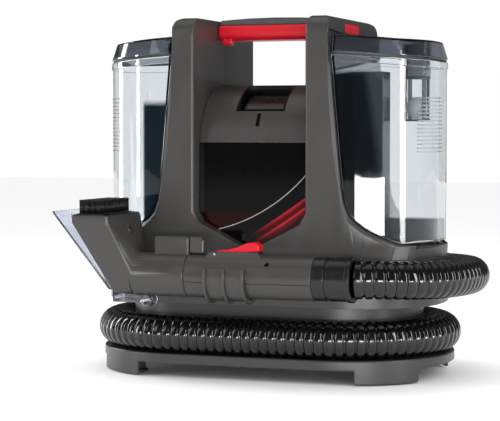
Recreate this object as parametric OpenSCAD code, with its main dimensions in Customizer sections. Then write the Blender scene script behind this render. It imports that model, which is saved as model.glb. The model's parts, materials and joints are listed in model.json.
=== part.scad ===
// Portable spot cleaner with two lift-out tanks, a wound suction hose and a parked hand tool.
// Millimetres. X right, Y back, Z up, origin on the floor under the middle of the base.

/* [Base] */
// Length of the base
base_l = 359; // [340:1:440]
// Depth of the base
base_w = 216; // [205:1:270]
// Height of the base deck
base_h = 24; // [18:1:32]
// Corner radius of the base in plan
base_r = 104; // [60:1:105]
// Height of the arches between the feet
arch_h = 14; // [6:1:16]
// Wall of the moulded covers
wall = 3; // [2:0.5:4]

/* [Body] */
// Length of the lower body
body_l = 344; // [330:1:420]
// Depth of the lower body
body_w = 190; // [184:1:240]
// Depth of the towers
tower_w = 176; // [172:1:220]
// Height of the towers above the floor
tower_h = 351; // [340:1:440]
// Clear width between the towers
window_w = 114; // [104:1:130]
// Radius of the curved centre cover
hood_r = 63; // [58:1:66]

/* [Tanks] */
// Wall of the clear tanks
tank_wall = 2.5; // [2:0.5:4]
// Depth of the tanks
tank_w = 168; // [150:1:171]
// Gap between a tank and the body
tank_gap = 1.2; // [0.8:0.1:2]
// Height of the lid joint at the inner edge
joint_z = 314; // [300:1:322]

/* [Hose and tool] */
// Outer diameter of the suction hose
hose_d = 36; // [32:1:36]
// Outer diameter of the hand tool
tool_d = 42; // [40:1:43]
// Height of the hand tool's axis
tool_z = 103; // [101:1:106]
// Width of the nozzle mouth
mouth_w = 80; // [60:1:90]
// Radial clearance of the sliding and turning fits
fit = 0.05; // [0.02:0.01:0.1]

/* [Hidden] */
$fn = 64;

far = 600;                     // length of a cut that passes right through
slack = 0.4;                   // gap around pieces that are pressed or lifted
skirt_z = 1;                   // the skirt hangs this far above the floor
shelf_z = 131;                 // ledge that carries the tanks
neck_top = 72;                 // underside of the lower body
shoulder_z = shelf_z - 13;     // the lower body leans in above this height
hose_r = hose_d / 2;
hose_z = base_h + hose_r + 0.5; // axis of the wound hose
hose_in = 98;                  // wound hose axis, from the middle in Y
neck_w = 2 * (hose_in - hose_r - 1);
neck_l = neck_w + 141;
body_r = body_w / 2 - 9;
tower_y = tower_w / 2;
window_x = window_w / 2;
top_r = 18;                    // front and rear of the towers round off at the top
hood = [-9, tower_h - 65 - hood_r]; // axis of the hood in Y and Z
hood_back = 50;                // radius of the hood's rear corner
seam_z = hood[1] + 6;          // joint between the hood and the lens
lens_y = hood[0] - hood_r;     // front face of the lens
panel_y = 80;                  // rear face of the vent panel
v_z = [shelf_z - 6, shelf_z + 20, shelf_z + 31]; // bottom, knee and end of the V of the window
tool_y = -125;
tool_r = tool_d / 2;
tube_r = 17.5;
seam_x = -45;                  // joint between the nozzle and the tool handle
cuff_x = [81, 118];
split_z = tool_z - 5;          // joint between the handle shells
port_x = 156;                  // tank ports, from the middle in X
gland_x = -70;                 // cord gland in the rear cover
gland_z = 92;
port_r = 9;
latch_y = [-28, 16];
latch_z = [335.5, 345];
latch_travel = 3;
pivot = [-17, tool_z + tool_r + 0.3]; // trigger pin in X and Z
pin_r = 1.2;
inlet_x = 71;                  // mouth of the hose inlet

// Outer edge of a tower, from the top down to the shelf: x, z and the inward direction.
edge = [
    [79.5, tower_h - 6, 1, 0], [80.3, 318, 1, 0], [84.5, 270, 1, 0], [88.5, 225, 1, 0],
    [92, 190, 1, 0.05], [94.5, 174, 0.97, 0.2], [99, 161, 0.8, 0.6], [106, 153.5, 0.6, 0.8],
    [115, 146.5, 0.5, 0.87], [126, 140.5, 0.45, 0.9], [137, 135.5, 0.35, 0.94],
    [146, shelf_z + 1, 0.2, 0.98]];

// Centreline of the hose: from the inlet, round the neck, up behind the body and round to the cuff.
// The first and last points lie inside the inlet and the cuff, and only set the direction there.
route = [[inlet_x - 25, hose_in, hose_z],
    [inlet_x, hose_in, hose_z], [96, 95, hose_z], [120, 85, hose_z], [140, 69.5, hose_z],
    [155.5, 49, hose_z], [165.5, 25, hose_z], [169, 0, hose_z], [165.5, -25, hose_z],
    [155.5, -49, hose_z], [140, -69.5, hose_z], [120, -85, hose_z], [96, -95, hose_z],
    [70, -98, hose_z], [0, -98, hose_z], [-70, -98, hose_z], [-96, -95, hose_z],
    [-120, -85, hose_z], [-140, -69.5, hose_z], [-155.5, -49, hose_z], [-165.5, -25, hose_z],
    [-169, 0, hose_z], [-165.5, 25, hose_z], [-155.5, 50, hose_z], [-139, 74, hose_z],
    [-113, 94, hose_z], [-80, 107, 43], [-46, 114, 48], [-12, 117, 60], [22, 118, 74],
    [56, 118, 86], [90, 116, 93], [126, 106, 96], [160, 83, 97], [186, 48, 98],
    [197, 8, 99], [195, -34, 100], [185, -72, 101], [167, -101, 102], [144, -118, 103],
    [cuff_x[1], tool_y, tool_z], [cuff_x[1] - 30, tool_y, tool_z]];

// ---------- helpers ----------

// Rounded rectangle of length l, depth w and corner radius r
module plan(l, w, r) {
    q = min(r, l / 2 - 0.01, w / 2 - 0.01);
    square([l - 2 * q, w], center = true);
    square([l, w - 2 * q], center = true);
    for (x = [-1, 1], y = [-1, 1]) translate([x * (l / 2 - q), y * (w / 2 - q)]) circle(q);
}

module slab(l, w, r, z0, z1) {
    translate([0, 0, z0]) linear_extrude(z1 - z0) plan(l, w, r);
}

// Extrudes an outline drawn in X and Z from y0 to y1
module across(y0, y1) {
    translate([0, y1, 0]) rotate([90, 0, 0]) linear_extrude(y1 - y0) children();
}

// Extrudes an outline drawn in Y and Z from x0 to x1
module along(x0, x1) {
    translate([x0, 0, 0]) rotate([90, 0, 90]) linear_extrude(x1 - x0) children();
}

module rod_x(x0, x1, r, y, z) {
    translate([x0, y, z]) rotate([0, 90, 0]) cylinder(h = x1 - x0, r = r);
}

module rod_z(x, y, z0, z1, r) {
    translate([x, y, z0]) cylinder(h = z1 - z0, r = r);
}

module block(x0, x1, y0, y1, z0, z1) {
    translate([x0, y0, z0]) cube([x1 - x0, y1 - y0, z1 - z0]);
}

module ring_z(x, y, z0, z1, ro, ri) {
    difference() {
        rod_z(x, y, z0, z1, ro);
        rod_z(x, y, z0 - 1, z1 + 1, ri);
    }
}

module ring_x(x0, x1, ro, ri, y, z) {
    difference() {
        rod_x(x0, x1, ro, y, z);
        rod_x(x0 - 1, x1 + 1, ri, y, z);
    }
}

// Catmull-Rom point between p[i] and p[i + 1]
function curve_pt(p, i, t) = 0.5 * (2 * p[i] + (p[i + 1] - p[i - 1]) * t
    + (2 * p[i - 1] - 5 * p[i] + 4 * p[i + 1] - p[i + 2]) * t * t
    + (3 * p[i] - p[i - 1] - 3 * p[i + 1] + p[i + 2]) * t * t * t);
// Line through all points but the first and last, in n steps from point to point
function smooth(p, n) = [for (i = [1 : len(p) - 3], k = [0 : n - 1]) curve_pt(p, i, k / n),
    p[len(p) - 2]];
function unit(v) = v / norm(v);
// The first and last rings are square to X or Z, so that they lie flat on their neighbours
function heading(p, i, first, last) = i == 0 ? first : i == len(p) - 1 ? last
    : unit(p[i + 1] - p[i - 1]);

// Closed tube of radius r and s sides along the points p
module tube(p, r, s, first, last) {
    n = len(p);
    pts = [for (i = [0 : n - 1])
        let (d = heading(p, i, first, last),
            u = unit(cross(abs(d[2]) > 0.9 ? [1, 0, 0] : [0, 0, 1], d)), v = cross(d, u))
        for (k = [0 : s - 1]) p[i] + r * (cos(360 * k / s) * u + sin(360 * k / s) * v)];
    walls = [for (i = [0 : n - 2], k = [0 : s - 1])
        let (a = i * s + k, b = i * s + (k + 1) % s)
        each [[a, a + s, b], [b, a + s, b + s]]];
    polyhedron(pts, concat([[for (k = [0 : s - 1]) k]], walls,
        [[for (k = [s - 1 : -1 : 0]) (n - 1) * s + k]]));
}

// Coil spring of radius r that stands on the origin
module spring(r, h, turns, wire) {
    n = turns * 10;
    tube([for (i = [0 : n]) [r * cos(36 * i), r * sin(36 * i), wire + (h - 2 * wire) * i / n]],
        wire, 6, [0, 1, 0], [0, 1, 0]);
}

// ---------- base ----------

foot_at = [[128, 70], [-128, 70], [128, -70], [-128, -70]];

module base_plate() color("#3d3b3a") difference() {
    union() {
        difference() {
            slab(base_l, base_w, base_r, skirt_z, base_h);
            slab(base_l - 2 * wall, base_w - 2 * wall, base_r - wall, 0, base_h - wall);
        }
        for (p = foot_at) rod_z(p[0], p[1], 3, base_h - wall, 12);
    }
    block(-110, 110, -far, far, 0, arch_h);
    block(-far, far, -60, 60, 0, arch_h);
    for (p = foot_at) rod_z(p[0], p[1], 2, 12, 1.7);
}

module foot_pads() color("#151515") for (p = foot_at) difference() {
    rod_z(p[0], p[1], 0, 3, 14);
    rod_z(p[0], p[1], -1, 1.5, 4);
    rod_z(p[0], p[1], -1, 5, 1.7);
}

module base_screws() color("#8a8d90") for (p = foot_at) {
    rod_z(p[0], p[1], 0.3, 1.5, 3.4);
    rod_z(p[0], p[1], 1.5, 11, 1.65);
}

module hose_neck() color("#353433") difference() {
    slab(neck_l, neck_w, neck_w / 2, base_h, neck_top);
    slab(neck_l - 2 * wall, neck_w - 2 * wall, neck_w / 2 - wall, base_h - 1, neck_top + 1);
    translate([inlet_x - 22, 0, hose_z]) rotate([-90, 0, 0]) cylinder(h = far, r = 15);
}

module chassis_floor() color("#2b2b2b") difference() {
    l = body_l - 2 * wall - slack;
    w = body_w - 2 * wall - slack;
    slab(l, w, body_r - wall, neck_top, neck_top + wall);
    rod_z(inlet_x - 22, 40, 0, far, 15);
    rod_z(-60, -20, 0, far, 6);
}

// ---------- body covers ----------

// Right half of the tower outline, inset by d
function half_outline(d) = concat([[73.5, tower_h - d], [77.5 - d * 0.7, tower_h - 2 - d * 0.7]],
    [for (e = edge) [e[0] - d * e[2], e[1] - d * e[3]]],
    [[160, shelf_z - 0.3 - d], [160, shoulder_z - 5 - d]]);
function mirrored(p) = concat(p, [for (i = [len(p) - 1 : -1 : 0]) [-p[i][0], p[i][1]]]);

// Opening between the towers with its V-shaped bottom, grown by d
function window_outline(d) = mirrored([[0, v_z[0] - d * 1.1], [window_x - 6 + d * 0.4, v_z[1] - d * 0.9],
    [window_x + d, v_z[2] - d * 0.3], [window_x + d, far]]);

// Body inset by d, standing on z0
module body_solid(d, z0) {
    slab(body_l - 2 * d, body_w - 2 * d, body_r - d, z0, shoulder_z);
    hull() {
        slab(body_l - 2 * d, body_w - 2 * d, body_r - d, shoulder_z - 0.5, shoulder_z);
        slab(body_l - 2 * d, tower_w - 2 * d, tower_y - 8, shelf_z - d - 0.5, shelf_z - d);
    }
    intersection() {
        along(-body_l / 2, body_l / 2) translate([0, tower_h / 2])
            plan(tower_w - 2 * d, tower_h - 2 * d, top_r - d);
        across(-tower_y + d, tower_y - d) polygon(mirrored(half_outline(d)));
        slab(body_l - 2 * d, tower_w - 2 * d, tower_y - 8, shoulder_z - 10, far);
    }
}

module covers() difference() {
    union() {
        difference() {
            body_solid(0, neck_top);
            body_solid(wall, neck_top - 1);
        }
        intersection() {
            across(-tower_y, tower_y) polygon(window_outline(wall));
            body_solid(0, neck_top);
        }
    }
    across(-far, far) polygon(window_outline(0));
    for (x = [-port_x, port_x]) rod_z(x, 0, 100, shelf_z + 8, port_r + 4);
    for (s = [-1, 1]) block(s * 79 - 6, s * 79 + 6, latch_y[0] - slack, latch_y[1] + slack,
        latch_z[0] - slack, latch_z[1] + slack);
}

module front_cover() color("#4a4846") intersection() {
    covers();
    block(-far, far, -far, 0, 0, far);
}

module rear_cover() color("#474544") difference() {
    intersection() {
        covers();
        block(-far, far, 0, far, 0, far);
    }
    translate([gland_x, 0, gland_z]) rotate([-90, 0, 0]) cylinder(h = far, r = 9);
}

module hood_outline(d) {
    intersection() {
        union() {
            translate(hood) circle(hood_r - d);
            translate([hood_back - 20, hood[1] + hood_r - hood_back]) circle(hood_back - d);
            translate([hood[0], 0]) square([hood_back - 20 - hood[0], hood[1] + hood_r - d]);
            translate([lens_y + d, 0]) square([panel_y - lens_y - 2 * d, hood[1]]);
        }
        translate([-far, seam_z - 2 * d]) square(2 * far);
    }
}

well_x = [-23, 27];
well_a = [36, 88];             // start and end of the switch opening, in degrees above level
slit_x = 2;                    // slit of the indicator, from the middle in X
slit_a = 28;                   // and in degrees above level

module sector(r0, r1, a0, a1) translate(hood) intersection() {
    difference() {
        circle(r1);
        circle(r0);
    }
    polygon([[0, 0], [200 * cos(180 - a0), 200 * sin(a0)], [-150, 150],
        [200 * cos(180 - a1), 200 * sin(a1)]]);
}

module centre_cover() color("#454341") difference() {
    along(-window_x + 0.2, window_x - 0.2) hood_outline(0);
    along(-window_x - 1, window_x + 1) hood_outline(wall);
    along(well_x[0], well_x[1]) sector(20, 90, well_a[0], well_a[1]);
    translate([slit_x, hood[0], hood[1]]) rotate([-slit_a, 0, 0])
        block(-1.6, 1.6, -90, -40, -8, 6);
}

module indicator_lens() color("#101010")
    translate([slit_x, hood[0], hood[1]]) rotate([-slit_a, 0, 0])
        block(-1.5, 1.5, -hood_r + 0.2, -hood_r + 4, -7.8, 5.8);

module button_well() color("#0d0d0d") difference() {
    along(well_x[0] + 0.1, well_x[1] - 0.1) sector(48, hood_r - 0.3, well_a[0] + 0.1, well_a[1] - 0.1);
    along(well_x[0] + 2, well_x[1] - 2) sector(50, 90, well_a[0] + 2.5, well_a[1] - 2.5);
    along(-6, 10) sector(30, 60, 58, 66);
}

module power_button() color("#161616") {
    along(well_x[0] + 3, well_x[1] - 3) sector(52.3, 54.5, well_a[0] + 5, well_a[1] - 5);
    along(-3, 7) sector(47.6, 53, 60, 64);
}

module switch_body() color("#1c1c1c") along(-8, 12) sector(43, 45.3, 56, 68);

module front_lens() color("#0b0b0b") across(lens_y, lens_y + wall) polygon([
    [-window_x + 0.3, seam_z - 0.3], [-window_x + 0.3, v_z[2] + 0.2],
    [-window_x + 6.3, v_z[1] + 0.4], [0, v_z[0] + 0.4], [window_x - 6.3, v_z[1] + 0.4],
    [window_x - 0.3, v_z[2] + 0.2], [window_x - 0.3, seam_z - 0.3]]);

module exhaust_grille() color("#2a2a2a") difference() {
    across(panel_y - wall, panel_y) polygon([
        [-window_x + 0.3, seam_z - 0.3], [-window_x + 0.3, v_z[2] + 0.2],
        [-window_x + 6.3, v_z[1] + 0.4], [0, v_z[0] + 0.4], [window_x - 6.3, v_z[1] + 0.4],
        [window_x - 0.3, v_z[2] + 0.2], [window_x - 0.3, seam_z - 0.3]]);
    for (i = [0 : 7]) block(-40, 40, panel_y - 10, panel_y + 10, v_z[2] + 7 * i, v_z[2] + 7 * i + 3.5);
}

module cable_gland() color("#1a1a1a") {
    y0 = body_w / 2 - wall;
    translate([gland_x, y0 - 6, gland_z]) rotate([-90, 0, 0]) difference() {
        union() {
            cylinder(h = 12, r = 8.8);
            translate([0, 0, 6 + wall + 0.2]) cylinder(h = 5, r = 12);
            cylinder(h = 5.8, r = 12);
        }
        translate([0, 0, -1]) cylinder(h = 30, r = 4);
    }
}

// ---------- handle and latches ----------

grip_z = tower_h - 20;

module handle_beam() color("#454341") intersection() {
    across(-20, 20) polygon([[-window_x + 0.1, grip_z + 15.2], [window_x - 0.1, grip_z + 15.2],
        [window_x - 0.1, tower_h + 0.6], [30, tower_h + 2.4], [0, tower_h + 3],
        [-30, tower_h + 2.4], [-window_x + 0.1, tower_h + 0.6]]);
    along(-far, far) translate([0, grip_z + 3]) circle(21.5);
}

module handle_grip() color("#b01218") {
    along(-window_x + 0.1, window_x - 0.1) intersection() {
        union() {
            translate([-12, grip_z + 8]) circle(8);
            translate([12, grip_z + 8]) circle(8);
            translate([-12, grip_z]) square([24, 15]);
            translate([-20, grip_z + 8]) square([40, 7]);
        }
        translate([-20, grip_z]) square([40, 15]);
    }
    block(-window_x + 3, -window_x + 14, -17, -9, grip_z - 4.5, grip_z + 2);
}

// Push plate in the outer wall of the right tower
module latch() {
    block(76.8, 80.3, latch_y[0], latch_y[1], latch_z[0], latch_z[1]);
    block(72, 77, -12, 0, latch_z[0] + 1, latch_z[1] - 1);
}

module right_latch() color("#d02a24") latch();
module left_latch() color("#d02a24") mirror([1, 0, 0]) latch();

module latch_springs() color("#9a9a9a") for (s = [0, 1]) mirror([s, 0, 0])
    translate([window_x + wall, -6, (latch_z[0] + latch_z[1]) / 2]) rotate([0, 90, 0])
        spring(3, 72 - window_x - wall - latch_travel - 0.4, 3, 0.6);

// ---------- tanks ----------

slope = 0.07;                  // the lid joint falls towards the outer end
function lid_z(x) = joint_z - slope * (x - 82);
tank_l = body_l - 4;
lean = (edge[2][0] - edge[1][0]) / (edge[1][1] - edge[2][1]); // of the tank's inner wall

// Outline of a tank in X and Z, inset by d, up to the lid joint raised by up
function tank_outline(d, up) = concat(
    [[edge[2][0] + tank_gap + d - lean * (lid_z(82) + up - edge[2][1]), lid_z(82) + up]],
    [for (i = [2 : len(edge) - 1]) let (e = edge[i], g = tank_gap + d)
        [e[0] + g * e[2], e[1] + g * e[3]]],
    [[far / 2, shelf_z + tank_gap + d], [far / 2, lid_z(far / 2) + up]]);

module tank_solid(d, up) intersection() {
    slab(tank_l - 2 * d, tank_w - 2 * d, 75 - d, 0, far);
    across(-far, far) polygon(tank_outline(d, up));
}

module tank_shell() {
    difference() {
        tank_solid(0, 0);
        tank_solid(tank_wall, 20);
        rod_z(port_x, 0, shelf_z - 5, shelf_z + 10, port_r - 2);
    }
    difference() {
        intersection() {
            slab(tank_l + 2, tank_w + 2, 76, 0, far);
            across(-far, far) polygon([[82, lid_z(82) - 7], [82, lid_z(82)], [far / 2, lid_z(far / 2)],
                [far / 2, lid_z(far / 2) - 7]]);
        }
        slab(tank_l - 2, tank_w - 2, 74, 0, far);
        block(-far, 84, -tank_w / 2 + 2, tank_w / 2 - 2, 0, far);
    }
    ring_z(port_x, 0, shelf_z - 3, shelf_z + tank_gap + tank_wall, port_r, port_r - 2);
}

module tank_seal() difference() {
    tank_solid(0.4, 2);
    tank_solid(tank_wall, 20);
    across(-far, far) polygon([[0, 0], [400, 0], [400, lid_z(400)], [0, lid_z(0)]]);
}

// Lid outline in X and Z, inset by d
function lid_outline(d) = [[82.3 + d, lid_z(82) + 2 - d * 4], [82.3 + d, joint_z + 19 - d],
    [110, joint_z + 17 - d], [140, joint_z + 14.5 - d], [far / 2, joint_z + 10 - d],
    [far / 2, lid_z(far / 2) + 2 - d * 4]];

lid_chamfer = 14;

// Tilted with the lid joint, so that the chamfer runs along it
module lid_body(d) intersection() {
    translate([0, 0, lid_z(0)]) rotate([0, atan(slope), 0]) hull() {
        slab(tank_l + 2 - 2 * d, tank_w + 2 - 2 * d, 76 - d, -20, 3 - d / 2);
        slab(tank_l + 2 - 2 * d - 2 * lid_chamfer, tank_w + 2 - 2 * d - 2 * lid_chamfer,
            76 - d - lid_chamfer, 16.5 - d / 2, 40);
    }
    across(-far, far) polygon(lid_outline(d));
}

module tank_lid() difference() {
    lid_body(0);
    lid_body(tank_wall);
}

clear_tint = [0.62, 0.70, 0.78, 0.45];

cap = [-120, 25, 13];          // fill cap: x, y and radius
cap_z = joint_z + 16.6;

module clean_tank_shell() color(clear_tint) {
    mirror([1, 0, 0]) tank_shell();
    for (y = [-12, 9]) block(-port_x - 3, -port_x + 3, y, y + 3, shelf_z + 3.6, shelf_z + 22);
    block(-port_x - 3, -port_x + 3, -12, 12, shelf_z + 19, shelf_z + 22);
}

module clean_tank_lid() color("#2f3840") difference() {
    mirror([1, 0, 0]) tank_lid();
    rod_z(cap[0], cap[1], joint_z + 5, joint_z + 40, cap[2] + fit);
}

module clean_tank_seal() color("#1a1c1e") mirror([1, 0, 0]) tank_seal();

module fill_cap() color("#23292f") difference() {
    union() {
        rod_z(cap[0], cap[1], joint_z + 6, cap_z, cap[2]);
        translate([cap[0], cap[1], cap_z]) block(-9, 9, -2, 2, -1, 3);
    }
    rod_z(cap[0], cap[1], joint_z + 5, cap_z - 3, cap[2] - 2.5);
}

module tank_valve() color("#d8d8d8") {
    rod_z(-port_x, 0, shelf_z - 2, shelf_z + 5, 3);
    rod_z(-port_x, 0, shelf_z + 4.9, shelf_z + 7, port_r - 0.6);
}

module valve_spring() color("#9a9a9a") translate([-port_x, 0, shelf_z + 10.3])
    spring(4, 8.6, 3, 0.6);

module valve_seat() color("#202020") {
    ring_z(-port_x, 0, shelf_z - 8, shelf_z + 0.4, port_r + 3.9, port_r + fit);
    difference() {
        rod_z(-port_x, 0, shelf_z - 14, shelf_z - 7.9, port_r + 3.9);
        rod_z(-port_x, 0, shelf_z - 11, shelf_z - 7, port_r);
        rod_z(-port_x, 0, shelf_z - 15, shelf_z - 7, 3);
    }
}

module dirty_tank_shell() color(clear_tint) tank_shell();
module dirty_tank_seal() color("#1a1c1e") tank_seal();

module dirty_tank_lid() color("#2f3840") {
    difference() {
        tank_lid();
        block(100, 112, 50, 70, joint_z + 17, joint_z + 40);
    }
    block(101, 111, 52, 66, joint_z + 14, joint_z + 20.5);
    ring_z(float_at[0], float_at[1], float_z + 44, joint_z + 12, 14.5, 10);
}

module separator_duct() color("#22405c") difference() {
    intersection() {
        tank_solid(tank_wall + 0.01, 0);
        union() {
            block(0, 119, -34, -6, 0, joint_z - 16);
            block(0, port_x + 13, -14, 14, 0, shelf_z + 24);
        }
    }
    block(104, 116, -31, -9, shelf_z + 34, far);
    intersection() {
        tank_solid(tank_wall + 2, 0);
        block(105, port_x + 11, -11.5, 11.5, 0, shelf_z + 22);
    }
    rod_z(port_x, 0, 0, shelf_z + 10, port_r - 2);
}

float_at = [136, 34];
float_z = 250;

module float_cage() color("#33506b") {
    ring_z(float_at[0], float_at[1], float_z, float_z + 2, 14.5, 8);
    ring_z(float_at[0], float_at[1], float_z + 42, float_z + 44, 14.5, 10);
    for (a = [0 : 90 : 270]) translate([float_at[0], float_at[1], 0]) rotate(a + 45)
        block(12.6, 14.4, -2, 2, float_z + 1, float_z + 43);
}

module float_ball() color("#e8e8e8")
    translate([float_at[0], float_at[1], float_z + 13.2]) sphere(11);

// ---------- hose and its ends ----------

module suction_hose() color("#0c0c0c")
    tube(smooth(route, 2), hose_r, 10, [1, 0, 0], [-1, 0, 0]);

module hose_cuff() color("#161616") difference() {
    union() {
        rod_x(cuff_x[0] + 0.1, cuff_x[1], tool_r - 0.4, tool_y, tool_z);
        rod_x(cuff_x[1] - 5, cuff_x[1], tool_r + 0.6, tool_y, tool_z);
    }
    ring_x(cuff_x[0] + 12, cuff_x[0] + 14, tool_r + 2, tool_r - 1.6, tool_y, tool_z);
    rod_x(cuff_x[0] - 1, cuff_x[1] - 18, tube_r, tool_y, tool_z);
    rod_x(cuff_x[0], cuff_x[1] + 1, tube_r - 1.5, tool_y, tool_z);
}

module elbow(r, bend, x, y) {
    translate([x + bend, y, hose_z]) rotate([0, 0, 90]) rotate_extrude(angle = 90)
        translate([bend, 0]) circle(r);
}

module hose_inlet() color("#222120") {
    x = inlet_x - 22;
    y0 = neck_w / 2 - wall - 5;
    y1 = neck_w / 2 + 0.1;
    bend = hose_in - y1;
    difference() {
        union() {
            translate([x, y0, hose_z]) rotate([-90, 0, 0]) cylinder(h = y1 - y0, r = 14.9);
            elbow(hose_r, bend, x, y1);
            rod_x(x + bend, inlet_x, hose_r, hose_in, hose_z);
        }
        translate([x, y0 - 1, hose_z]) rotate([-90, 0, 0]) cylinder(h = y1 - y0 + 1, r = 13);
        elbow(13, bend, x, y1);
        rod_x(x + bend, inlet_x + 1, 13, hose_in, hose_z);
    }
}

module suction_riser() color("#303030") {
    x = inlet_x - 22;
    y0 = neck_w / 2 - wall - 5.1;
    z1 = shelf_z - 3.2;
    difference() {
        union() {
            translate([x, 40, hose_z]) rotate([-90, 0, 0]) cylinder(h = y0 - 40, r = 14.5);
            rod_z(x, 40, hose_z, 96, 14.5);
            translate([x, 40, hose_z]) sphere(14.5);
            translate([x, 40, 96]) sphere(14.5);
            hull() {
                translate([x, 40, 96]) sphere(14, $fn = 32);
                translate([port_x, 0, 106]) sphere(12, $fn = 32);
            }
            rod_z(port_x, 0, 106, z1, 12);
        }
        translate([x, 40, hose_z]) rotate([-90, 0, 0]) cylinder(h = 80, r = 12);
        rod_z(x, 40, hose_z, 96, 12);
        hull() {
            translate([x, 40, 96]) sphere(11, $fn = 32);
            translate([port_x, 0, 106]) sphere(9, $fn = 32);
        }
        rod_z(port_x, 0, 106, far, 9);
    }
}

// ---------- hand tool ----------

module tool_tube() color("#3a3938") difference() {
    rod_x(seam_x - 28, cuff_x[0] + 15, tube_r - fit, tool_y, tool_z);
    rod_x(seam_x - 29, cuff_x[0] + 16, tube_r - 2.5, tool_y, tool_z);
}

trigger_slot = [pivot[0] - 8, 27];

module handle_shell() difference() {
    rod_x(seam_x + 0.3, cuff_x[0], tool_r, tool_y, tool_z);
    rod_x(seam_x - 1, cuff_x[0] + 1, tube_r + 0.2, tool_y, tool_z);
}

module tool_upper_shell() color("#4a4846") difference() {
    union() {
        intersection() {
            handle_shell();
            block(-far, far, -far, far, split_z + 0.1, far);
        }
        // raised mount for the trigger and its pin
        difference() {
            hull() {
                block(-27, 30, tool_y - 11, tool_y + 11, tool_z + 12, tool_z + tool_r - 3);
                block(-22, 26, tool_y - 9, tool_y + 9, tool_z + tool_r - 2, tool_z + tool_r + 2.6);
            }
            rod_x(-60, 60, tube_r + 0.2, tool_y, tool_z);
        }
    }
    block(trigger_slot[0], trigger_slot[1], tool_y - 7, tool_y + 7, tool_z + tube_r + 0.2, far);
    translate([pivot[0], tool_y - 20, pivot[1]]) rotate([-90, 0, 0]) cylinder(h = 40, r = pin_r);
    block(seam_x, seam_x + 16, tool_y - 5.5, tool_y + 5.5, tool_z + tube_r - 1, far);
    translate([37, tool_y, tool_z]) rotate([50, 0, 0]) cylinder(h = 40, r = 2.5);
}

module tool_lower_shell() color("#454341") intersection() {
    handle_shell();
    block(-far, far, -far, far, 0, split_z);
}

module spray_trigger() color("#d41a1f") difference() {
    across(tool_y - 6.5, tool_y + 6.5) union() {
        translate([0, tool_z + tool_r]) polygon([[-23, -0.5], [-20, 3], [-6, 4.5], [4, 7], [13, 11],
            [22, 12], [26, 9.5], [26.5, 3], [4, 1], [-17, -2.5]]);
        translate(pivot) circle(3);
    }
    translate([pivot[0], tool_y - 20, pivot[1]]) rotate([-90, 0, 0]) cylinder(h = 40, r = pin_r + fit);
}

module trigger_pin() color("#a0a0a0") translate([pivot[0], tool_y - 10.4, pivot[1]])
    rotate([-90, 0, 0]) cylinder(h = 20.8, r = pin_r);

module trigger_spring() color("#9a9a9a") translate([20, tool_y, tool_z + tube_r + 0.2])
    spring(3, 1.9, 1, 0.4);

module nozzle_lock() color("#4a4846") {
    block(seam_x + 0.5, seam_x + 13, tool_y - 5, tool_y + 5, tool_z + tube_r + 3.6, tool_z + 37);
    translate([seam_x + 13, 0, 0]) block(-0.1, 2, tool_y - 5, tool_y + 5,
        tool_z + tube_r + 3.6, tool_z + 35);
}

module lock_spring() color("#9a9a9a") translate([seam_x + 8, tool_y, tool_z + tube_r])
    spring(2.6, 0.6 + 0.9, 1, 0.3);

head_x = [-152, -115];         // top of the nozzle head
head_z = 161;
jet_z = 146;

module head_hull(d) hull() {
    block(head_x[0] + d, head_x[1] - d, tool_y - mouth_w / 2 + d, tool_y + mouth_w / 2 - d,
        head_z - 8, head_z + abs(d));
    rod_x(-104, -97, tool_r - 1 - d, tool_y, tool_z);
    block(-119 + d, -117 + d, tool_y - 16 + d, tool_y + 16 - d, 85 + d, 92);
}

module nozzle_body() color("#4c4a48") difference() {
    union() {
        head_hull(0);
        rod_x(-101, seam_x, tool_r, tool_y, tool_z);
        block(-81, seam_x, tool_y - 6, tool_y + 8, tool_z + 15, tool_z + 37);
    }
    head_hull(wall);
    rod_x(-108, seam_x - 30, tool_r - wall, tool_y, tool_z);
    rod_x(-80, seam_x + 1, tube_r, tool_y, tool_z);
    block(-150, -112, tool_y - 12, tool_y + 12, tool_z - 4, tool_z + 12);
    rod_x(-130, -100, 4 + fit, tool_y, jet_z);
}

module cover_hull(d) hull() {
    block(head_x[0] - 20 + d, head_x[0] - 0.5 + d, tool_y - mouth_w / 2 + d,
        tool_y + mouth_w / 2 - d, head_z + 2, head_z + 2.5 + d);
    block(-124 + d, -119.5 + d, tool_y - 16 + d, tool_y + 16 - d, 88 + d, 92);
}

module nozzle_cover() color([0.72, 0.78, 0.86, 0.5]) {
    difference() {
        cover_hull(0);
        cover_hull(2);
        head_hull(-0.3);
    }
    difference() {
        union() {
            block(-121, -92, tool_y - 12, tool_y + 12, 76, 79);
            block(-121.5, -119.5, tool_y - 12, tool_y + 12, 76, 90);
            translate([-88, tool_y, 77.5]) rotate([90, 0, 0]) cylinder(h = 16, r = 5.5, center = true);
        }
        translate([-88, tool_y, 77.5]) rotate([90, 0, 0]) cylinder(h = 30, r = 3.5, center = true);
        rod_x(-119.4, 0, tool_r + 0.2, tool_y, tool_z);
        head_hull(-0.3);
    }
}

brush_x = [-148, -122];
module brush_bar() color("#141414")
    block(brush_x[0], brush_x[1], tool_y - mouth_w / 2 + wall + 0.1,
        tool_y + mouth_w / 2 - wall - 0.1, head_z - 7, head_z + 0.8);

module bristles() color("#0a0a0a") for (i = [0 : 12], k = [0 : 3])
    rod_z(brush_x[0] + 4 + 6 * k, tool_y + (i - 6) * (mouth_w - 14) / 12,
        head_z + 0.8, head_z + 14, 1.8);

module spray_jet() color("#1b1b1b") ring_x(-121, -110.5, 4, 1, tool_y, jet_z);

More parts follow.
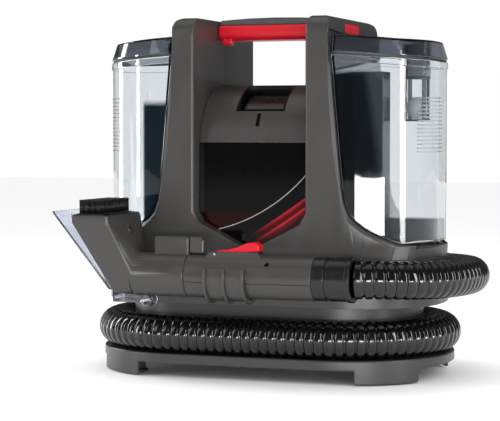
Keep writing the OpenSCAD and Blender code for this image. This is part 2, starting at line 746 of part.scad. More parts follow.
module tool_cradle() color("#403e3d") {
    y1 = -body_w / 2;
    r0 = tool_r + 0.6;
    for (x = [-24, -5, 14]) intersection() {
        ring_x(x, x + 3, r0 + 4.5, r0, tool_y, tool_z);
        block(-far, far, -far, tool_y + 60, 0, tool_z + 9);
    }
    intersection() {
        ring_x(-24, 17, r0 + 2, r0, tool_y, tool_z);
        block(-far, far, -far, far, 0, tool_z + 9);
    }
    difference() {
        block(-24, 17, tool_y + 14, y1 - 0.05, tool_z - 22, tool_z + 9);
        rod_x(-30, 30, r0 + 1, tool_y, tool_z);
    }
}

// ---------- inside ----------

module motor_can() color("#8f9296") {
    ring_x(-12, 48, 42, 38, hood[0], hood[1]);
    ring_x(-24, -11.9, 20, 15, hood[0], hood[1]);
    for (x = [-12, 45]) ring_x(x, x + 3, 38.5, 11, hood[0], hood[1]);
}

module motor_bearings() color("#c5c8cb") for (x = [-15.8, 45])
    ring_x(x, x + 6.6, 10.95, 4, hood[0], hood[1]);

module motor_shaft() color("#b8bbbe") {
    rod_x(-46, 53, 4 - fit, hood[0], hood[1]);
    ring_x(-6, 40, 22, 3.9, hood[0], hood[1]);
}

module fan_impeller() color("#d0d0d0") {
    ring_x(-45, -43, 45, 4 - fit, hood[0], hood[1]);
    ring_x(-45, -30, 9, 4 - fit, hood[0], hood[1]);
    for (a = [0 : 45 : 315]) translate([0, hood[0], hood[1]]) rotate([a, 0, 0])
        block(-43.1, -31, -1, 1, 8, 44);
}

module fan_housing() color("#2d2f31") difference() {
    rod_x(-52, -24, 52, hood[0], hood[1]);
    rod_x(-49, -27, 48.5, hood[0], hood[1]);
    rod_x(-60, -45, 14, hood[0], hood[1]);
    rod_x(-30, 0, 11, hood[0], hood[1]);
}

module motor_mount() color("#26282a") difference() {
    across(-40, 22) polygon([[-46, 185], [-46, v_z[0] + 24.2], [0, v_z[0] + 0.4],
        [46, v_z[0] + 24.2], [46, 185]]);
    rod_x(-14, 60, 42.1, hood[0], hood[1]);
    rod_x(-60, -13.9, 52.2, hood[0], hood[1]);
}

module pump_body() color("#3a4a55") {
    difference() {
        block(-120, -78, -16, 16, neck_top + wall, neck_top + wall + 30);
        rod_x(-110, -60, 12, 0, 91);
    }
    ring_x(-78, -74, 15, 3, 0, 91);
}

module pump_rotor() color("#c0c0c0") {
    rod_x(-109, -80, 10, 0, 91);
    rod_x(-80.1, -66, 3 - fit, 0, 91);
}

module water_tube() color("#dfe6ea")
    tube([[-port_x, 0, shelf_z - 14.05], [-port_x, 0, 108], [-152, -10, 100], [-142, -26, 92],
        [-124, -34, 84], [-96, -34, 82], [-72, -30, 80], [-62, -22, 78], [-60, -20, 66],
        [-60, -20, 40]], 3, 8, [0, 0, -1], [0, 0, -1]);

base_plate();
foot_pads();
hose_neck();
chassis_floor();
front_cover();
rear_cover();
centre_cover();
front_lens();
button_well();
power_button();
indicator_lens();
switch_body();
handle_beam();
handle_grip();
left_latch();
right_latch();
latch_springs();
clean_tank_shell();
clean_tank_lid();
clean_tank_seal();
fill_cap();
tank_valve();
valve_spring();
valve_seat();
dirty_tank_shell();
dirty_tank_lid();
dirty_tank_seal();
separator_duct();
float_cage();
float_ball();
suction_hose();
hose_cuff();
hose_inlet();
tool_tube();
tool_upper_shell();
tool_lower_shell();
nozzle_body();
nozzle_cover();
brush_bar();
bristles();
spray_jet();
spray_trigger();
trigger_pin();
trigger_spring();
nozzle_lock();
lock_spring();
tool_cradle();
motor_can();
motor_shaft();
fan_impeller();
fan_housing();
motor_bearings();
motor_mount();
pump_body();
pump_rotor();
water_tube();
suction_riser();
exhaust_grille();
cable_gland();
base_screws();
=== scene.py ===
import json
import math

import bmesh
import bpy
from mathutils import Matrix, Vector
from mathutils.bvhtree import BVHTree

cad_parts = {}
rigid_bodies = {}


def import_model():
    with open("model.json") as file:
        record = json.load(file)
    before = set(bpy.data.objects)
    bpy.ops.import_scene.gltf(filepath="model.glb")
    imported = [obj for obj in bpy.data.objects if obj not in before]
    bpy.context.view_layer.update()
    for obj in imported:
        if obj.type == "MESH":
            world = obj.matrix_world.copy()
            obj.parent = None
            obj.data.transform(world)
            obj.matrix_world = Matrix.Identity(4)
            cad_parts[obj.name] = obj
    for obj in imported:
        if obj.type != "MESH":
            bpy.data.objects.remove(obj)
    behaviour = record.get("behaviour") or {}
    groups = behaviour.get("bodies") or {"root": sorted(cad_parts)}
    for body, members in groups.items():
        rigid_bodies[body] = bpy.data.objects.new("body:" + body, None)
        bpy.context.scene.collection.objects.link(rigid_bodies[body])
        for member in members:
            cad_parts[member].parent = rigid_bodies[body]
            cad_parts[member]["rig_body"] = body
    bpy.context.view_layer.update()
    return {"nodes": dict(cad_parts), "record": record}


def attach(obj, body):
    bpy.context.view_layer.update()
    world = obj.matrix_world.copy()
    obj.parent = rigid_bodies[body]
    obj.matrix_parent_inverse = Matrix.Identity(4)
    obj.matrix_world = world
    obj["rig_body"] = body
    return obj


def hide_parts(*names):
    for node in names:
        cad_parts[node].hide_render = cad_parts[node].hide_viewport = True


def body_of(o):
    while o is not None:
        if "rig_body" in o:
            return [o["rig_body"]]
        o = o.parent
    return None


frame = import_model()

scene = bpy.context.scene


def show(item):
    scene.collection.objects.link(item)
    return item


# camera first: a long lens from the front, a little to the left
cameraSettings = {
    "azimuth": 19.74, "pitch": 2.7, "distance": 1.8, "lens": 128.1,
    "target": (-0.0264, -0.0095, 0.1599),
}


def makeCamera(s):
    around, up = math.radians(s["azimuth"]), math.radians(s["pitch"])
    back = Vector((math.sin(around) * math.cos(up), -math.cos(around) * math.cos(up), math.sin(up)))
    data = bpy.data.cameras.new("productCamera")
    data.lens = s["lens"]
    data.sensor_width = 36
    camera = show(bpy.data.objects.new("productCamera", data))
    camera.location = Vector(s["target"]) + back * s["distance"]
    camera.rotation_euler = back.to_track_quat("Z", "Y").to_euler()
    scene.camera = camera


makeCamera(cameraSettings)
print("camera is in place")


def addNode(tree, kind, inputs=None, **properties):
    made = tree.nodes.new(kind)
    for key, value in properties.items():
        setattr(made, key, value)
    for socket, value in (inputs or {}).items():
        if isinstance(value, bpy.types.NodeSocket):
            tree.links.new(value, made.inputs[socket])
        else:
            made.inputs[socket].default_value = value
    return made


def maths(tree, operation, first, second=0.0):
    return addNode(tree, "ShaderNodeMath", {0: first, 1: second}, operation=operation).outputs[0]


def geometryTree(name, inputs):
    # inputs is a list of (label, kind, default); every tree also takes a Material
    tree = bpy.data.node_groups.new(name, "GeometryNodeTree")
    tree.interface.new_socket("Geometry", in_out="INPUT", socket_type="NodeSocketGeometry")
    for label, kind, value in inputs:
        socket = tree.interface.new_socket(label, in_out="INPUT", socket_type="NodeSocket" + kind)
        if value is not None:
            socket.default_value = value
    tree.interface.new_socket("Material", in_out="INPUT", socket_type="NodeSocketMaterial")
    tree.interface.new_socket("Geometry", in_out="OUTPUT", socket_type="NodeSocketGeometry")
    return tree, tree.nodes.new("NodeGroupInput").outputs


def endTree(tree, given, geometry, smooth=True):
    solid = addNode(tree, "GeometryNodeRealizeInstances", {"Geometry": geometry}).outputs[0]
    if smooth:
        solid = addNode(tree, "GeometryNodeSetShadeSmooth", {"Geometry": solid}).outputs[0]
    painted = addNode(tree, "GeometryNodeSetMaterial",
                      {"Geometry": solid, "Material": given["Material"]}).outputs[0]
    addNode(tree, "NodeGroupOutput", {"Geometry": painted})


def plainMesh(item):
    # what the modifiers give, as a mesh of its own
    bpy.context.view_layer.update()
    return bpy.data.meshes.new_from_object(item.evaluated_get(bpy.context.evaluated_depsgraph_get()))


def grow(tree, name, values, material, source=None):
    # runs a geometry tree once and keeps the result as a plain mesh
    host = show(bpy.data.objects.new(name + "Host", source or bpy.data.meshes.new(name)))
    shape = host.modifiers.new("shape", "NODES")
    shape.node_group = tree
    wanted = dict(values, Material=material)
    for item in tree.interface.items_tree:
        if item.in_out == "INPUT" and item.name in wanted:
            shape[item.identifier] = wanted[item.name]
    mesh = plainMesh(host)
    bpy.data.objects.remove(host)
    mesh.name = name
    return show(bpy.data.objects.new(name, mesh))


def finishPiece(piece, body, nodes=()):
    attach(piece, body)
    if nodes:
        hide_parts(*nodes)
    return piece


def newMaterial(name):
    material = bpy.data.materials.new(name)
    material.use_nodes = True
    tree = material.node_tree
    return material, tree, tree.nodes["Principled BSDF"]


def setShader(shader, values):
    for socket, value in values.items():
        shader.inputs[socket].default_value = value


def noise(tree, scale, detail=2.0, rough=0.5, stretch=None):
    where = addNode(tree, "ShaderNodeTexCoord").outputs["Object"]
    if stretch:
        where = addNode(tree, "ShaderNodeMapping", {"Vector": where, "Scale": stretch}).outputs[0]
    return addNode(tree, "ShaderNodeTexNoise",
                   {"Vector": where, "Scale": scale, "Detail": detail,
                    "Roughness": rough}).outputs["Fac"]


def between(tree, factor, low, high):
    return addNode(tree, "ShaderNodeMapRange", {"Value": factor, "From Min": 0.3, "From Max": 0.7,
                                                "To Min": low, "To Max": high}).outputs[0]


def blendColour(tree, factor, first, second):
    mix = addNode(tree, "ShaderNodeMix", data_type="RGBA")
    tree.links.new(factor, mix.inputs[0])
    for socket, value in ((mix.inputs[6], first), (mix.inputs[7], second)):
        if isinstance(value, bpy.types.NodeSocket):
            tree.links.new(value, socket)
        else:
            socket.default_value = (*value, 1)
    return mix.outputs[2]


def mouldedPlastic(name, colour, rough, grain=0.0006, depth=0.05, shift=0.10, shader=None):
    # fine moulding grain, faint flow patches in the colour and in the sheen
    material, tree, bsdf = newMaterial(name)
    patch = noise(tree, 14, 3)
    low = [c * (1 - shift) for c in colour]
    high = [c * (1 + shift) for c in colour]
    tree.links.new(blendColour(tree, patch, low, high), bsdf.inputs["Base Color"])
    sheen = noise(tree, 55, 4, stretch=(1, 1, 0.4))
    tree.links.new(between(tree, sheen, rough - 0.05, rough + 0.06), bsdf.inputs["Roughness"])
    fine = noise(tree, 1 / grain, 2)
    bump = addNode(tree, "ShaderNodeBump", {"Height": fine, "Strength": depth, "Distance": 0.0003})
    tree.links.new(bump.outputs[0], bsdf.inputs["Normal"])
    setShader(bsdf, shader or {})
    return material


def ramp(tree, value, low, high, interpolation="SMOOTHSTEP"):
    # 0 at low, 1 at high
    return addNode(tree, "ShaderNodeMapRange", {"Value": value, "From Min": low, "From Max": high},
                   interpolation_type=interpolation).outputs[0]


def clearPlastic(name, tint, smoke, rough=0.02, wave=0.02, panel=None):
    # clear moulding with a faint tint, flow waves and slightly uneven polish
    material, tree, bsdf = newMaterial(name)
    patch = noise(tree, 9, 3, stretch=(1, 1, 0.3))
    colour = blendColour(tree, patch, smoke, tint)
    if panel:    # painted shade: a darker colour on the side near the body, up to a height
        axes = addNode(tree, "ShaderNodeSeparateXYZ", {
            "Vector": addNode(tree, "ShaderNodeTexCoord").outputs["Object"]}).outputs
        edge = maths(tree, "MULTIPLY_ADD", axes["Z"], panel["lean"])
        edge.node.inputs[2].default_value = panel["x"]
        # painted shade: this marks the inner side of the tank where the body's shade falls, and
        # colours it dark
        inner = maths(tree, "SUBTRACT", edge, maths(tree, "ABSOLUTE", axes["X"]))
        shadeMask = maths(tree, "MULTIPLY", ramp(tree, inner, 0, panel["soft"]),
                     ramp(tree, axes["Z"], panel["top"], panel["top"] - 0.008))
        shadeMask = maths(tree, "MULTIPLY", shadeMask, ramp(tree, axes["Y"], 0, -0.02))    # front half only
        colour = blendColour(tree, shadeMask, colour, panel["tint"])
    tree.links.new(colour, bsdf.inputs["Base Color"])
    polish = noise(tree, 40, 3)
    tree.links.new(between(tree, polish, rough * 0.5, rough * 1.6), bsdf.inputs["Roughness"])
    flow = noise(tree, 16, 2, stretch=(1, 1, 0.25))
    bump = addNode(tree, "ShaderNodeBump", {"Height": flow, "Strength": wave, "Distance": 0.004})
    tree.links.new(bump.outputs[0], bsdf.inputs["Normal"])
    setShader(bsdf, {"Transmission Weight": 1.0, "IOR": 1.46})
    return material


def metal(name, colour, rough):
    # drawn steel: streaks along its length in the sheen
    material, tree, bsdf = newMaterial(name)
    streak = noise(tree, 300, 3, stretch=(1, 0.05, 1))
    tree.links.new(between(tree, streak, rough - 0.08, rough + 0.12), bsdf.inputs["Roughness"])
    tree.links.new(blendColour(tree, streak, [c * 0.85 for c in colour], colour),
                   bsdf.inputs["Base Color"])
    setShader(bsdf, {"Metallic": 1.0})
    return material


lensArt = {
    "haze": (0.020, 0.0006, 0.0008), "hazeTop": 0.170, "hazeLow": 0.146,
    "silver": (0.34, 0.33, 0.33), "silverCentre": (-0.0781, 0, 0.3158), "silverRadius": 0.1764,
    "silverWidth": 0.0007,
    "swooshCentre": (-0.307, 0, 0.668), "swooshStart": 0.600, "swooshEnd": 0.632,
    # how far across the swoosh, and the colour there
    "swoosh": [(0.22, (0.002, 0.0012, 0.0014)), (0.28, (0.020, 0.0008, 0.0014)),
               (0.305, (0.36, 0.014, 0.026)), (0.36, (0.16, 0.004, 0.008)),
               (0.44, (0.030, 0.0006, 0.0010)), (0.50, (0.10, 0.002, 0.004)),
               (0.545, (0.40, 0.018, 0.030)), (0.60, (0.09, 0.006, 0.010)),
               (0.75, (0.028, 0.004, 0.005))],
    "fadeFrom": -0.006, "fadeTo": 0.030,
}


def awayFrom(tree, centre):
    # distance from a point in X and Z
    where = addNode(tree, "ShaderNodeTexCoord").outputs["Object"]
    flat = addNode(tree, "ShaderNodeVectorMath", {0: where, 1: (1, 0, 1)},
                   operation="MULTIPLY").outputs[0]
    return addNode(tree, "ShaderNodeVectorMath", {0: flat, 1: centre},
                   operation="DISTANCE").outputs["Value"]


def lensMaterial(name, s):
    # gloss black with soft printed bands and a thin curved line under the clear coat
    material, tree, bsdf = newMaterial(name)
    axes = addNode(tree, "ShaderNodeSeparateXYZ", {
        "Vector": addNode(tree, "ShaderNodeTexCoord").outputs["Object"]}).outputs
    low = ramp(tree, axes["Z"], s["hazeTop"], s["hazeLow"])
    away = awayFrom(tree, s["silverCentre"])
    inside = ramp(tree, away, s["silverRadius"] + 0.004, s["silverRadius"] - 0.004)
    haze = maths(tree, "MULTIPLY", maths(tree, "MULTIPLY", low, inside),
                 between(tree, noise(tree, 30, 3), 0.6, 1.0))
    colour = blendColour(tree, haze, (0.002, 0.0022, 0.002), s["haze"])
    across = ramp(tree, awayFrom(tree, s["swooshCentre"]), s["swooshStart"], s["swooshEnd"], "LINEAR")
    bands = addNode(tree, "ShaderNodeValToRGB", {"Fac": across})
    stops = bands.color_ramp.elements
    for place, shade in s["swoosh"][2:]:
        stops.new(place)
    for stop, (place, shade) in zip(stops, s["swoosh"]):
        stop.position = place
        stop.color = (*shade, 1)
    shown = maths(tree, "MULTIPLY", ramp(tree, axes["X"], s["fadeFrom"], s["fadeTo"]),
                  ramp(tree, across, 0.22, 0.28))
    colour = blendColour(tree, shown, colour, bands.outputs["Color"])
    off = maths(tree, "ABSOLUTE", maths(tree, "SUBTRACT", away, s["silverRadius"]))
    colour = blendColour(tree, ramp(tree, off, s["silverWidth"], 0), colour, s["silver"])
    tree.links.new(colour, bsdf.inputs["Base Color"])
    tree.links.new(between(tree, noise(tree, 80, 3), 0.05, 0.09), bsdf.inputs["Roughness"])
    setShader(bsdf, {"Specular IOR Level": 0.12})
    return material


finishes = {
    "body_plastic": mouldedPlastic("satinGreyPlastic", (0.032, 0.0305, 0.0295), 0.34, depth=0.05),
    "base_plastic": mouldedPlastic("baseGreyPlastic", (0.030, 0.029, 0.0285), 0.36, depth=0.05),
    "gloss_black": mouldedPlastic("pianoBlackPlastic", (0.002, 0.002, 0.0022), 0.10, 0.004, 0.01,
                                  0.2, {"Specular IOR Level": 0.18}),
    "black_plastic": mouldedPlastic("blackPlastic", (0.005, 0.005, 0.0055), 0.26, depth=0.04),
    "red_plastic": mouldedPlastic("redPlastic", (0.46, 0.002, 0.012), 0.36, 0.0009, 0.04, 0.06,
                                  {"Specular IOR Level": 0.3}),
    "clear_plastic": clearPlastic("clearTankPlastic", (0.86, 0.88, 0.90), (0.78, 0.81, 0.84)),
    "lid_plastic": clearPlastic("smokyLidPlastic", (0.36, 0.38, 0.42), (0.26, 0.28, 0.32), 0.05),
    "duct_plastic": mouldedPlastic("blueDuctPlastic", (0.010, 0.022, 0.034), 0.22, depth=0.02),
    "hose_plastic": mouldedPlastic("hosePlastic", (0.002, 0.002, 0.0022), 0.14, 0.003, 0.02, 0.2,
                                   {"Specular IOR Level": 0.6}),
    "rubber": mouldedPlastic("blackRubber", (0.018, 0.018, 0.018), 0.62, 0.0008, 0.12),
    "bristle": mouldedPlastic("nylonBristle", (0.006, 0.006, 0.006), 0.38, 0.002, 0.05, 0.3),
    "steel": metal("drawnSteel", (0.62, 0.62, 0.64), 0.28),
    "white_plastic": mouldedPlastic("whitePlastic", (0.72, 0.72, 0.72), 0.35, depth=0.04, shift=0.04),
}
lensFinish = lensMaterial("printedLens", lensArt)
clearTint, clearSmoke = (0.90, 0.92, 0.935), (0.82, 0.85, 0.88)
ownFinishes = {
    # painted shade: the dark colour given for the side near the body stands in for the body's shade in
    # the tank wall
    "clean_tank_shell": clearPlastic("cleanTankPlastic", clearTint, clearSmoke, panel={
        "x": 0.114, "lean": 0.0, "soft": 0.0035, "top": 0.272, "tint": (0.008, 0.018, 0.026)}),
    # painted shade: the dark colour given for the side near the body stands in for the body's shade in
    # the tank wall
    "dirty_tank_shell": clearPlastic("dirtyTankPlastic", clearTint, clearSmoke, panel={
        "x": 0.163, "lean": -0.14, "soft": 0.012, "top": 0.300, "tint": (0.10, 0.14, 0.17)}),
    "nozzle_cover": clearPlastic("frostedCoverPlastic", (0.86, 0.87, 0.95), (0.72, 0.76, 0.84), 0.16),
    "front_lens": lensFinish,
}
slots = {part["node"]: part["material_slot"] for part in frame["record"]["subparts"]}
for nodeName, item in frame["nodes"].items():
    item.data.materials.clear()
    item.data.materials.append(finishes[slots[nodeName]])
print("materials are on every node")


hoseSettings = {
    "diameter": 0.036, "pitch": 0.0090, "depth": 0.0032, "sharpness": 4.5, "steps": 10, "sides": 28,
    "smooth": 10,
}
wound = 0.0425    # height of the wound turn's centreline
# the first and last points lie inside the inlet and the cuff, and only set the direction there
hoseRoute = [
    (0.046, 0.098, wound), (0.071, 0.098, wound), (0.096, 0.095, wound),
    (0.120, 0.085, wound), (0.140, 0.0695, wound), (0.1555, 0.049, wound), (0.1655, 0.025, wound),
    (0.169, 0, wound), (0.1655, -0.025, wound), (0.1555, -0.049, wound), (0.140, -0.0695, wound),
    (0.120, -0.085, wound), (0.096, -0.095, wound), (0.070, -0.098, wound), (0, -0.098, wound),
    (-0.070, -0.098, wound), (-0.096, -0.095, wound), (-0.120, -0.085, wound),
    (-0.140, -0.0695, wound), (-0.1555, -0.049, wound), (-0.1655, -0.025, wound),
    (-0.169, 0, wound), (-0.1655, 0.025, wound), (-0.1555, 0.050, wound), (-0.139, 0.074, wound),
    (-0.113, 0.094, wound), (-0.080, 0.107, 0.043), (-0.046, 0.114, 0.048),
    (-0.012, 0.117, 0.060), (0.022, 0.118, 0.074), (0.056, 0.118, 0.086), (0.090, 0.116, 0.093),
    (0.126, 0.106, 0.096), (0.160, 0.083, 0.097), (0.186, 0.048, 0.098), (0.197, 0.008, 0.099),
    (0.195, -0.034, 0.100), (0.185, -0.072, 0.101), (0.167, -0.101, 0.102),
    (0.144, -0.118, 0.103), (0.118, -0.125, 0.103), (0.088, -0.125, 0.103),
]


def smoothPath(points, steps):
    # Catmull-Rom line through all the points but the first and last
    points = [Vector(p) for p in points]
    line = []
    for i in range(1, len(points) - 2):
        a, b, c, d = points[i - 1:i + 3]
        for k in range(steps):
            t = k / steps
            line.append(0.5 * (2 * b + (c - a) * t + (2 * a - 5 * b + 4 * c - d) * t * t
                               + (3 * b - a - 3 * c + d) * t ** 3))
    return line + [points[-2]]


def chainMesh(name, points):
    mesh = bpy.data.meshes.new(name)
    mesh.from_pydata([tuple(p) for p in points], [(i, i + 1) for i in range(len(points) - 1)], [])
    return mesh


def ribbedTubeTree():
    # a tube along the source edges whose radius swells and narrows once per pitch
    tree, given = geometryTree("ribbedTube", [
        ("Diameter", "Float", 0.036), ("Pitch", "Float", 0.009), ("Depth", "Float", 0.003),
        ("Sharpness", "Float", 4.0), ("Steps", "Int", 8), ("Sides", "Int", 24)])
    curve = addNode(tree, "GeometryNodeMeshToCurve", {"Mesh": given["Geometry"]}).outputs[0]
    step = maths(tree, "DIVIDE", given["Pitch"], given["Steps"])
    rings = addNode(tree, "GeometryNodeResampleCurve", {"Curve": curve, "Length": step}, mode="LENGTH")
    along = addNode(tree, "GeometryNodeSplineParameter").outputs["Length"]
    place = maths(tree, "FRACT", maths(tree, "DIVIDE", along, given["Pitch"]))
    groove = maths(tree, "ABSOLUTE", maths(tree, "SUBTRACT", place, 0.5))
    groove = maths(tree, "POWER", maths(tree, "MULTIPLY", groove, 2.0), given["Sharpness"])
    drop = maths(tree, "MULTIPLY", groove, given["Depth"])
    radius = maths(tree, "SUBTRACT", maths(tree, "DIVIDE", given["Diameter"], 2.0), drop)
    ring = addNode(tree, "GeometryNodeCurvePrimitiveCircle",
                   {"Resolution": given["Sides"], "Radius": 1.0})
    tube = addNode(tree, "GeometryNodeCurveToMesh", {
        "Curve": rings.outputs[0], "Profile Curve": ring.outputs[0], "Scale": radius,
        "Fill Caps": True})
    endTree(tree, given, tube.outputs[0])
    return tree


hosePath = smoothPath(hoseRoute, hoseSettings["smooth"])
suctionHose = grow(ribbedTubeTree(), "suctionHose", {
    "Diameter": hoseSettings["diameter"], "Pitch": hoseSettings["pitch"],
    "Depth": hoseSettings["depth"], "Sharpness": hoseSettings["sharpness"],
    "Steps": hoseSettings["steps"], "Sides": hoseSettings["sides"],
}, finishes["hose_plastic"], chainMesh("hoseLine", hosePath))
finishPiece(suctionHose, "root", ["suction_hose"])


def finishMesh(mesh, sharp=32):
    # smooth shading, sharp only where faces meet at more than the angle
    for face in mesh.polygons:
        face.use_smooth = True
    mesh.set_sharp_from_angle(angle=math.radians(sharp))
    return mesh


def weighted(name, mesh):
    # normals that keep the flat faces flat between their rounded edges
    item = show(bpy.data.objects.new(name, mesh))
    item.modifiers.new("normals", "WEIGHTED_NORMAL").keep_sharp = True
    done = plainMesh(item)
    item.modifiers.clear()
    item.data = done
    return item


mergeGap = 3e-6         # points closer than this are one, in metres
flatWithin = 0.5        # degrees, faces this flat to each other are joined
sharpest = 26           # degrees, edges turning less than this stay unrounded
strayGap = 0.0002       # how far past its own radius a rounded corner may run, in metres


def moulded(node, width, segments=3, rule=None):
    # a copy of a CAD node with rounded outer edges; rule gives an edge's radius from its middle
    mesh = frame["nodes"][node].data.copy()
    work = bmesh.new()
    work.from_mesh(mesh)
    bmesh.ops.remove_doubles(work, verts=work.verts, dist=mergeGap)
    bmesh.ops.dissolve_limit(work, angle_limit=math.radians(flatWithin), verts=work.verts,
                              edges=work.edges)
    skin = BVHTree.FromBMesh(work)
    weight, reach = work.edges.layers.float.new("bevel_weight_edge"), 0.0
    for edge in work.edges:
        if len(edge.link_faces) == 2 and edge.calc_face_angle_signed(0) > math.radians(sharpest):
            radius = width
            if rule:
                radius = min(width, rule((edge.verts[0].co + edge.verts[1].co) / 2))
            edge[weight] = radius / width
            reach = max(reach, 0.45 * radius)
    work.to_mesh(mesh)
    work.free()
    first, *others = node.split("_")
    name = first + "".join(word.capitalize() for word in others)
    item = show(bpy.data.objects.new(name + "Draft", mesh))
    bevel = item.modifiers.new("edges", "BEVEL")
    bevel.width = width
    bevel.segments = segments
    bevel.limit_method = "WEIGHT"
    bevel.use_clamp_overlap = False
    rounded = finishMesh(plainMesh(item))
    bpy.data.objects.remove(item)
    for vertex in rounded.vertices:    # corners that ran too far come back to the surface
        near = skin.find_nearest(vertex.co)
        if near[3] > reach + strayGap:
            vertex.co = near[0]
    rounded.materials.clear()
    rounded.materials.append(ownFinishes.get(node) or finishes[slots[node]])
    piece = weighted(name, rounded)
    return finishPiece(piece, body_of(frame["nodes"][node])[0], [node])


coverEdges = {"split": 0.0004, "top": 0.0010, "front": 0.004, "window": 0.0028,
              "shelf": 0.0012, "widest": 0.004}
coverZones = {"seamY": 0.004, "seamZ": 0.076, "windowX": 0.0575, "windowZ": 0.12, "topZ": 0.320,
              "frontY": 0.02, "frontZ": 0.128}


def coverRule(middle):
    # radius of a cover edge by where its middle is
    at, radius = coverZones, coverEdges
    x, y, z = abs(middle.x), abs(middle.y), middle.z
    if y < at["seamY"] or z < at["seamZ"]:
        return radius["split"]
    if x < at["windowX"] and z > at["windowZ"]:
        return radius["window"]
    if z > at["topZ"]:
        return radius["top"]
    if z > at["frontZ"] and y > at["frontY"]:
        return radius["front"]
    return radius["shelf"]


moulded("front_cover", coverEdges["widest"], rule=coverRule, segments=4)
moulded("rear_cover", coverEdges["widest"], rule=coverRule, segments=4)
edgeRadii = {
    "base_plate": 0.0016, "centre_cover": 0.0008, "button_well": 0.0008, "power_button": 0.0014,
    "handle_beam": 0.0018, "handle_grip": 0.0022, "left_latch": 0.0008, "right_latch": 0.0008,
    "clean_tank_shell": 0.0009, "dirty_tank_shell": 0.0009, "clean_tank_lid": 0.0016,
    "dirty_tank_lid": 0.0016, "fill_cap": 0.0008, "separator_duct": 0.0008, "hose_cuff": 0.0008,
    "tool_upper_shell": 0.0006, "tool_lower_shell": 0.0006, "nozzle_body": 0.0022,
    "nozzle_cover": 0.0006, "brush_bar": 0.0005, "spray_trigger": 0.0016, "nozzle_lock": 0.0016,
    "tool_cradle": 0.0008, "exhaust_grille": 0.0006, "cable_gland": 0.0006, "foot_pads": 0.0006,
    "hose_neck": 0.001, "chassis_floor": 0.0006, "float_cage": 0.0004,
}
for nodeName, radius in edgeRadii.items():
    moulded(nodeName, radius)
moulded("front_lens", 0.0006)


def rodTree(name, sides):
    # a rod on every source point: a little random in place, lean and height
    tree, given = geometryTree(name, [
        ("Radius", "Float", 0.0004), ("Height", "Float", 0.01), ("Shift", "Float", 0.0),
        ("Lean", "Float", 0.0), ("Uneven", "Float", 0.0), ("Seed", "Int", 0)])
    rod = addNode(tree, "GeometryNodeMeshCylinder", {
        "Vertices": sides, "Radius": given["Radius"], "Depth": given["Height"]}).outputs["Mesh"]
    lift = addNode(tree, "ShaderNodeCombineXYZ", {"Z": maths(tree, "DIVIDE", given["Height"], 2.0)})
    rod = addNode(tree, "GeometryNodeTransform", {"Geometry": rod, "Translation": lift.outputs[0]})

    def spread(socket, salt):
        # a random sideways vector for each point, as long as the named input says
        pick = addNode(tree, "FunctionNodeRandomValue", {
            "Seed": maths(tree, "ADD", given["Seed"], salt)}, data_type="FLOAT_VECTOR")
        pick.inputs[0].default_value = (-1, -1, 0)
        pick.inputs[1].default_value = (1, 1, 0)
        return addNode(tree, "ShaderNodeVectorMath", {0: pick.outputs[0], "Scale": given[socket]},
                       operation="SCALE").outputs[0]

    moved = addNode(tree, "GeometryNodeSetPosition", {
        "Geometry": given["Geometry"], "Offset": spread("Shift", 1)}).outputs[0]
    tall = addNode(tree, "FunctionNodeRandomValue", {
        "Seed": maths(tree, "ADD", given["Seed"], 3)}, data_type="FLOAT")
    less = maths(tree, "SUBTRACT", 1.0, maths(tree, "MULTIPLY", tall.outputs[1], given["Uneven"]))
    size = addNode(tree, "ShaderNodeCombineXYZ", {"X": 1.0, "Y": 1.0, "Z": less}).outputs[0]
    rods = addNode(tree, "GeometryNodeInstanceOnPoints", {
        "Points": moved, "Instance": rod.outputs[0], "Rotation": spread("Lean", 2), "Scale": size})
    endTree(tree, given, rods.outputs[0])
    return tree


def pointMesh(name, points):
    mesh = bpy.data.meshes.new(name)
    mesh.from_pydata(points, [], [])
    return mesh


brushSettings = {
    "x": (-0.1455, -0.1245), "y": (-0.1585, -0.0915), "tufts": (4, 13), "perTuft": 34,
    "spread": 0.0019, "root": 0.1610, "height": 0.0140, "radius": 0.00022, "edge": 0.0015,
    "turn": 2.39996, "shift": 0.0003, "lean": 0.035, "uneven": 0.05,
}


def makeBristles(s):
    # each tuft is a sunflower pattern of fine rods
    points = []
    across, along = s["tufts"]
    for i in range(across):
        for k in range(along):
            x = s["x"][0] + s["edge"] + (s["x"][1] - s["x"][0] - 2 * s["edge"]) * i / (across - 1)
            y = s["y"][0] + (s["y"][1] - s["y"][0]) * k / (along - 1)
            for n in range(s["perTuft"]):
                out, turn = s["spread"] * math.sqrt((n + 0.5) / s["perTuft"]), n * s["turn"]
                points.append((x + out * math.cos(turn), y + out * math.sin(turn), s["root"]))
    made = grow(rodTree("bristleRods", 5), "bristleTufts", {
        "Radius": s["radius"], "Height": s["height"], "Shift": s["shift"], "Lean": s["lean"],
        "Uneven": s["uneven"], "Seed": 7}, finishes["bristle"], pointMesh("bristleRoots", points))
    return finishPiece(made, body_of(frame["nodes"]["bristles"])[0], ["bristles"])


makeBristles(brushSettings)


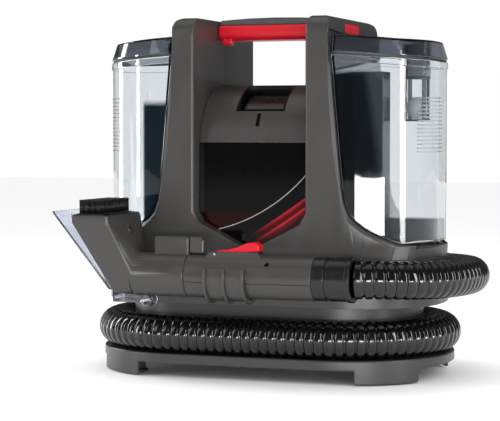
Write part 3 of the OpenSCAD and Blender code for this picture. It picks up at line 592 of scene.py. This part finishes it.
def ribTree():
    # a short arc of round bar, repeated upwards
    tree, given = geometryTree("gripRibs", [
        ("Count", "Int", 12), ("Pitch", "Float", 0.004), ("Arc Radius", "Float", 0.075),
        ("Start", "Float", 0.0), ("Sweep", "Float", 0.6), ("Bar", "Float", 0.0006),
        ("Centre", "Vector", (0, 0, 0))])
    arc = addNode(tree, "GeometryNodeCurveArc", {
        "Resolution": 24, "Radius": given["Arc Radius"], "Start Angle": given["Start"],
        "Sweep Angle": given["Sweep"]}, mode="RADIUS").outputs[0]
    profile = addNode(tree, "GeometryNodeCurvePrimitiveCircle", {
        "Resolution": 8, "Radius": given["Bar"]}).outputs[0]
    bar = addNode(tree, "GeometryNodeCurveToMesh", {
        "Curve": arc, "Profile Curve": profile, "Fill Caps": True}).outputs[0]
    step = addNode(tree, "ShaderNodeCombineXYZ", {"Z": given["Pitch"]}).outputs[0]
    places = addNode(tree, "GeometryNodeMeshLine", {
        "Count": given["Count"], "Start Location": given["Centre"], "Offset": step},
        mode="OFFSET").outputs[0]
    bars = addNode(tree, "GeometryNodeInstanceOnPoints", {"Points": places, "Instance": bar})
    endTree(tree, given, bars.outputs[0])
    return tree


gripSettings = {
    "count": 15, "pitch": 0.0037, "arcRadius": 0.0751, "bar": 0.0007, "low": 0.2205, "x": 0.095,
    "y": -0.009, "right": (-33, 36), "left": (180 + 6, 42),    # start and sweep in degrees
}


def makeGrip(tree, name, side, span, node, s):
    made = grow(tree, name, {
        "Count": s["count"], "Pitch": s["pitch"], "Arc Radius": s["arcRadius"],
        "Start": math.radians(span[0]), "Sweep": math.radians(span[1]), "Bar": s["bar"],
        "Centre": (side * s["x"], s["y"], s["low"])}, finishes["clear_plastic"])
    return finishPiece(made, body_of(frame["nodes"][node])[0])


gripTree = ribTree()
makeGrip(gripTree, "rightGripRibs", 1, gripSettings["right"], "dirty_tank_shell", gripSettings)
makeGrip(gripTree, "leftGripRibs", -1, gripSettings["left"], "clean_tank_shell", gripSettings)
print("bristles and grip ribs are grown")
print("moulded parts are rounded")


studio = {
    "floor": 12.0, "floorColour": 0.93, "floorGloss": 0.05, "sky": 1.0, "glossSky": 0.10,
    "fillSky": 1.05,
    "lights": [
        ("topBox", (0.0, 0.1, 1.7), (0, 0, 0.1), (1.7, 1.2), 5),
        ("keyBox", (-1.3, -1.7, 1.2), (0, 0, 0.18), (0.8, 1.2), 6),
        ("rightStrip", (1.6, -0.5, 0.6), (0, 0, 0.2), (0.25, 1.3), 13),
        ("leftStrip", (-1.5, 0.3, 0.6), (0, 0, 0.2), (0.25, 1.3), 10),
        ("edgeStrip", (-1.5, -0.85, 0.4), (0, 0, 0.2), (0.12, 1.0), 8),
        ("lowBox", (0.8, -1.8, 0.08), (0.0, 0, 0.05), (1.5, 0.12), 20),
    ],
}


def makeStudio(s):
    half = s["floor"] / 2
    mesh = bpy.data.meshes.new("studioFloor")
    mesh.from_pydata([(-half, -half, 0), (half, -half, 0), (half, half, 0), (-half, half, 0)], [],
                     [(0, 1, 2, 3)])
    floor = show(bpy.data.objects.new("studioFloor", mesh))
    material, tree, bsdf = newMaterial("paleFloor")
    pale = [s["floorColour"]] * 3
    tree.links.new(blendColour(tree, noise(tree, 3, 2), [c - 0.01 for c in pale], pale),
                   bsdf.inputs["Base Color"])
    setShader(bsdf, {"Roughness": 0.8, "Specular IOR Level": 0.0})
    gloss = addNode(tree, "ShaderNodeBsdfGlossy", {"Roughness": 0.06})
    blend = addNode(tree, "ShaderNodeMixShader", {0: s["floorGloss"], 1: bsdf.outputs[0],
                                                  2: gloss.outputs[0]})
    tree.links.new(blend.outputs[0], tree.nodes["Material Output"].inputs["Surface"])
    mesh.materials.append(material)
    for name, place, aim, size, power in s["lights"]:
        data = bpy.data.lights.new(name, "AREA")
        data.shape = "RECTANGLE"
        data.size, data.size_y = size
        data.energy = power
        lamp = show(bpy.data.objects.new(name, data))
        lamp.location = place
        lamp.rotation_euler = (Vector(place) - Vector(aim)).to_track_quat("Z", "Y").to_euler()
    world = bpy.data.worlds.new("studioWorld")
    scene.world = world
    world.use_nodes = True
    tree = world.node_tree
    rays = addNode(tree, "ShaderNodeLightPath").outputs
    seen = maths(tree, "MAXIMUM", rays["Is Camera Ray"], rays["Is Transmission Ray"])
    level = maths(tree, "ADD", maths(tree, "MULTIPLY", seen, s["sky"]),
                  maths(tree, "MULTIPLY", rays["Is Diffuse Ray"], s["fillSky"]))
    level = maths(tree, "MAXIMUM", level, s["glossSky"])
    background = tree.nodes["Background"]
    background.inputs["Color"].default_value = (1, 1, 1, 1)
    tree.links.new(level, background.inputs["Strength"])
    scene.view_settings.view_transform = "Standard"


makeStudio(studio)
print("studio is lit")
